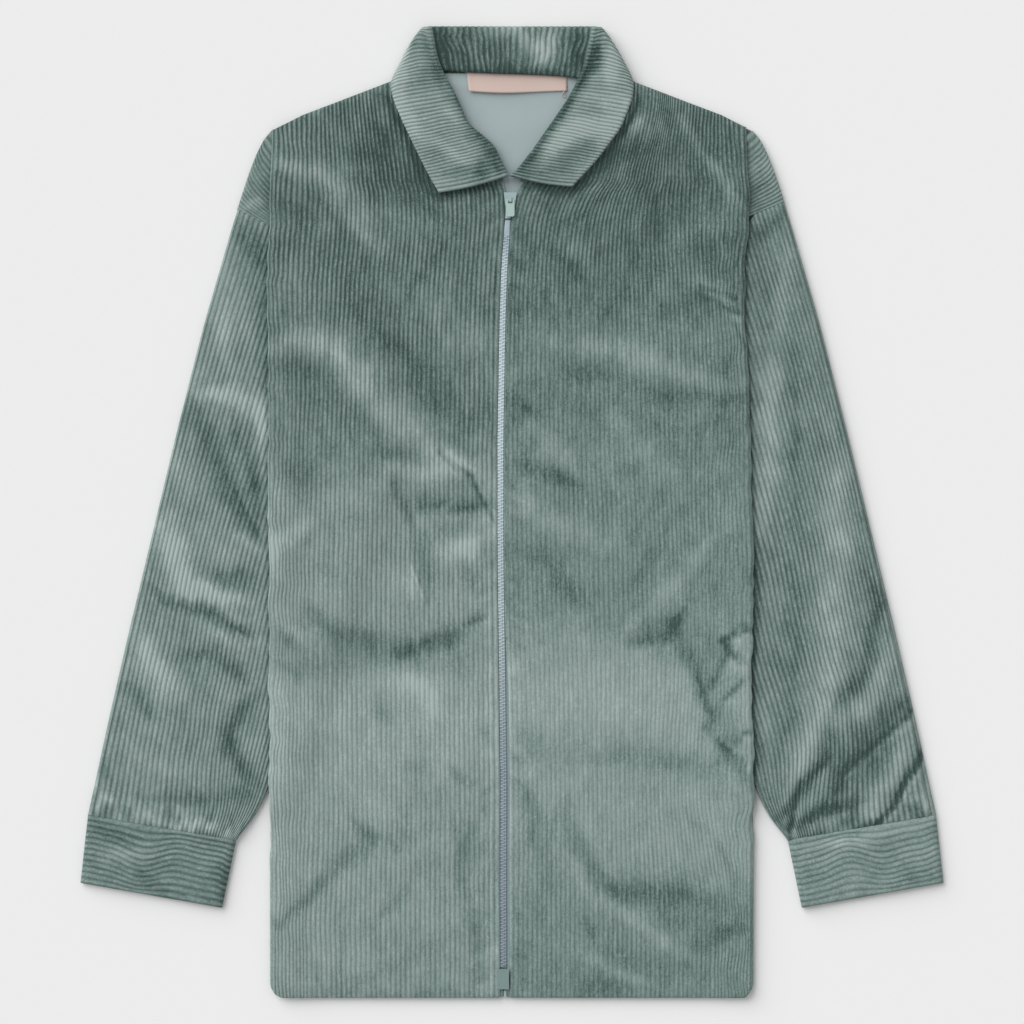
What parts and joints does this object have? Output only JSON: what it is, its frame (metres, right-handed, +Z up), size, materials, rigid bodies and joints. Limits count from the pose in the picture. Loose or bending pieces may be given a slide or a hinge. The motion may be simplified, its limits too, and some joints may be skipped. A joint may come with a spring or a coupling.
{
  "type": "corduroy jacket",
  "caption": "Wide-wale corduroy zip jacket with a turned-down pointed collar, drop shoulders, cuffed sleeves and a straight hem, laid flat face up with its zip closed.",
  "frame": {"origin": "middle of the jacket's outline, on the surface that it lies on", "axes": "+Z up, away from the surface; +Y towards the collar; +X towards the viewer's right, the wearer's left"},
  "size_m": [0.7258, 0.8164, 0.0121],
  "materials": {
    "back": "wide-wale corduroy, matte pile",
    "front_left": "wide-wale corduroy, matte pile",
    "front_right": "wide-wale corduroy, matte pile",
    "shoulder_left": "wide-wale corduroy, matte pile",
    "shoulder_right": "wide-wale corduroy, matte pile",
    "sleeve_left": "wide-wale corduroy, matte pile",
    "sleeve_right": "wide-wale corduroy, matte pile",
    "cuff_left": "wide-wale corduroy, matte pile",
    "cuff_right": "wide-wale corduroy, matte pile",
    "collar_left": "wide-wale corduroy, matte pile",
    "collar_right": "wide-wale corduroy, matte pile",
    "collar_back": "wide-wale corduroy, matte pile",
    "neck_lining": "smooth plain lining, slight sheen",
    "neck_label": "fine woven satin label, blank",
    "zip_tape_left": "fine woven tape",
    "zip_tape_right": "fine woven tape",
    "zip_chain": "satin moulded teeth",
    "zip_slider": "satin enamel",
    "zip_pull": "satin enamel",
    "zip_box": "satin enamel",
    "zip_pin": "satin"
  },
  "bodies": {
    "jacket": {"back": "back", "front_left": "front_left", "front_right": "front_right", "shoulder_left": "shoulder_left", "shoulder_right": "shoulder_right", "sleeve_left": "sleeve_left", "sleeve_right": "sleeve_right", "cuff_left": "cuff_left", "cuff_right": "cuff_right", "collar_left": "collar_left", "collar_right": "collar_right", "collar_back": "collar_back", "neck_lining": "neck_lining", "neck_label": "neck_label", "zip_tape_left": "zip_tape_left", "zip_tape_right": "zip_tape_right", "zip_chain": "zip_chain", "zip_slider": "zip_slider", "zip_box": "zip_box", "zip_pin": "zip_pin"},
    "pull_tab": {"zip_pull": "zip_pull"}
  },
  "joints": [
    {"name": "pull_tab_hinge", "type": "hinge", "parent": "jacket", "child": "pull_tab", "pos_m": [-0.0015, 0.262, 0.00838], "axis": [-1, 0, 0], "range_deg": [0, 170]}
  ]
}
